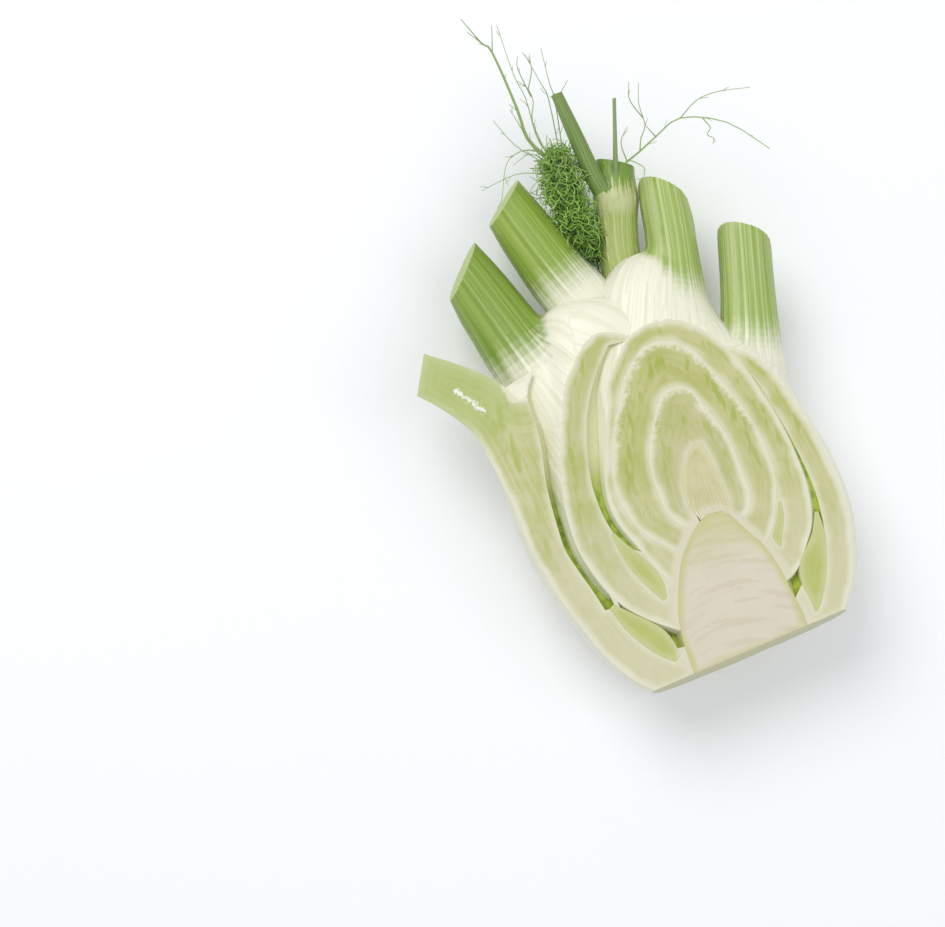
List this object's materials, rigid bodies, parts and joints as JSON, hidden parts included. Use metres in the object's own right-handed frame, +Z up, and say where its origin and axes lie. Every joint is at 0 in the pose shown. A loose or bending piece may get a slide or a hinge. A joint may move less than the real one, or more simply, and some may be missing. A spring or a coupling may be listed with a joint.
{
  "type": "fennel bulb",
  "caption": "Fennel bulb halved lengthwise and lying cut face up, with nested leaf bases, core, cut stalks and feathery fronds.",
  "frame": {"origin": "middle of the small flat spot that the bulb half rests on, at the surface", "axes": "+Y along the bulb towards the stalks, +Z up out of the cut face, +X across the bulb"},
  "size_m": [0.1298, 0.2277, 0.0412],
  "materials": {
    "core": "moist fibrous white stem flesh",
    "leaf_base": "crisp pale flesh and ribbed skin, turning green up the stalks",
    "bud": "tender yellow-green shoots",
    "frond": "fine green feathery leaf threads"
  },
  "bodies": {
    "root": {"core": "core", "heart_leaves": "leaf_base", "leaf_1_left": "leaf_base", "leaf_2_right": "leaf_base", "leaf_3_left": "leaf_base", "leaf_4_right": "leaf_base", "leaf_5_left": "leaf_base", "leaf_6_centre": "leaf_base", "side_bud_outer_left": "bud", "side_bud_inner_left": "bud", "side_bud_outer_right": "bud", "side_bud_inner_right": "bud", "frond_tuft": "frond", "frond_spray_right": "frond"}
  },
  "joints": []
}
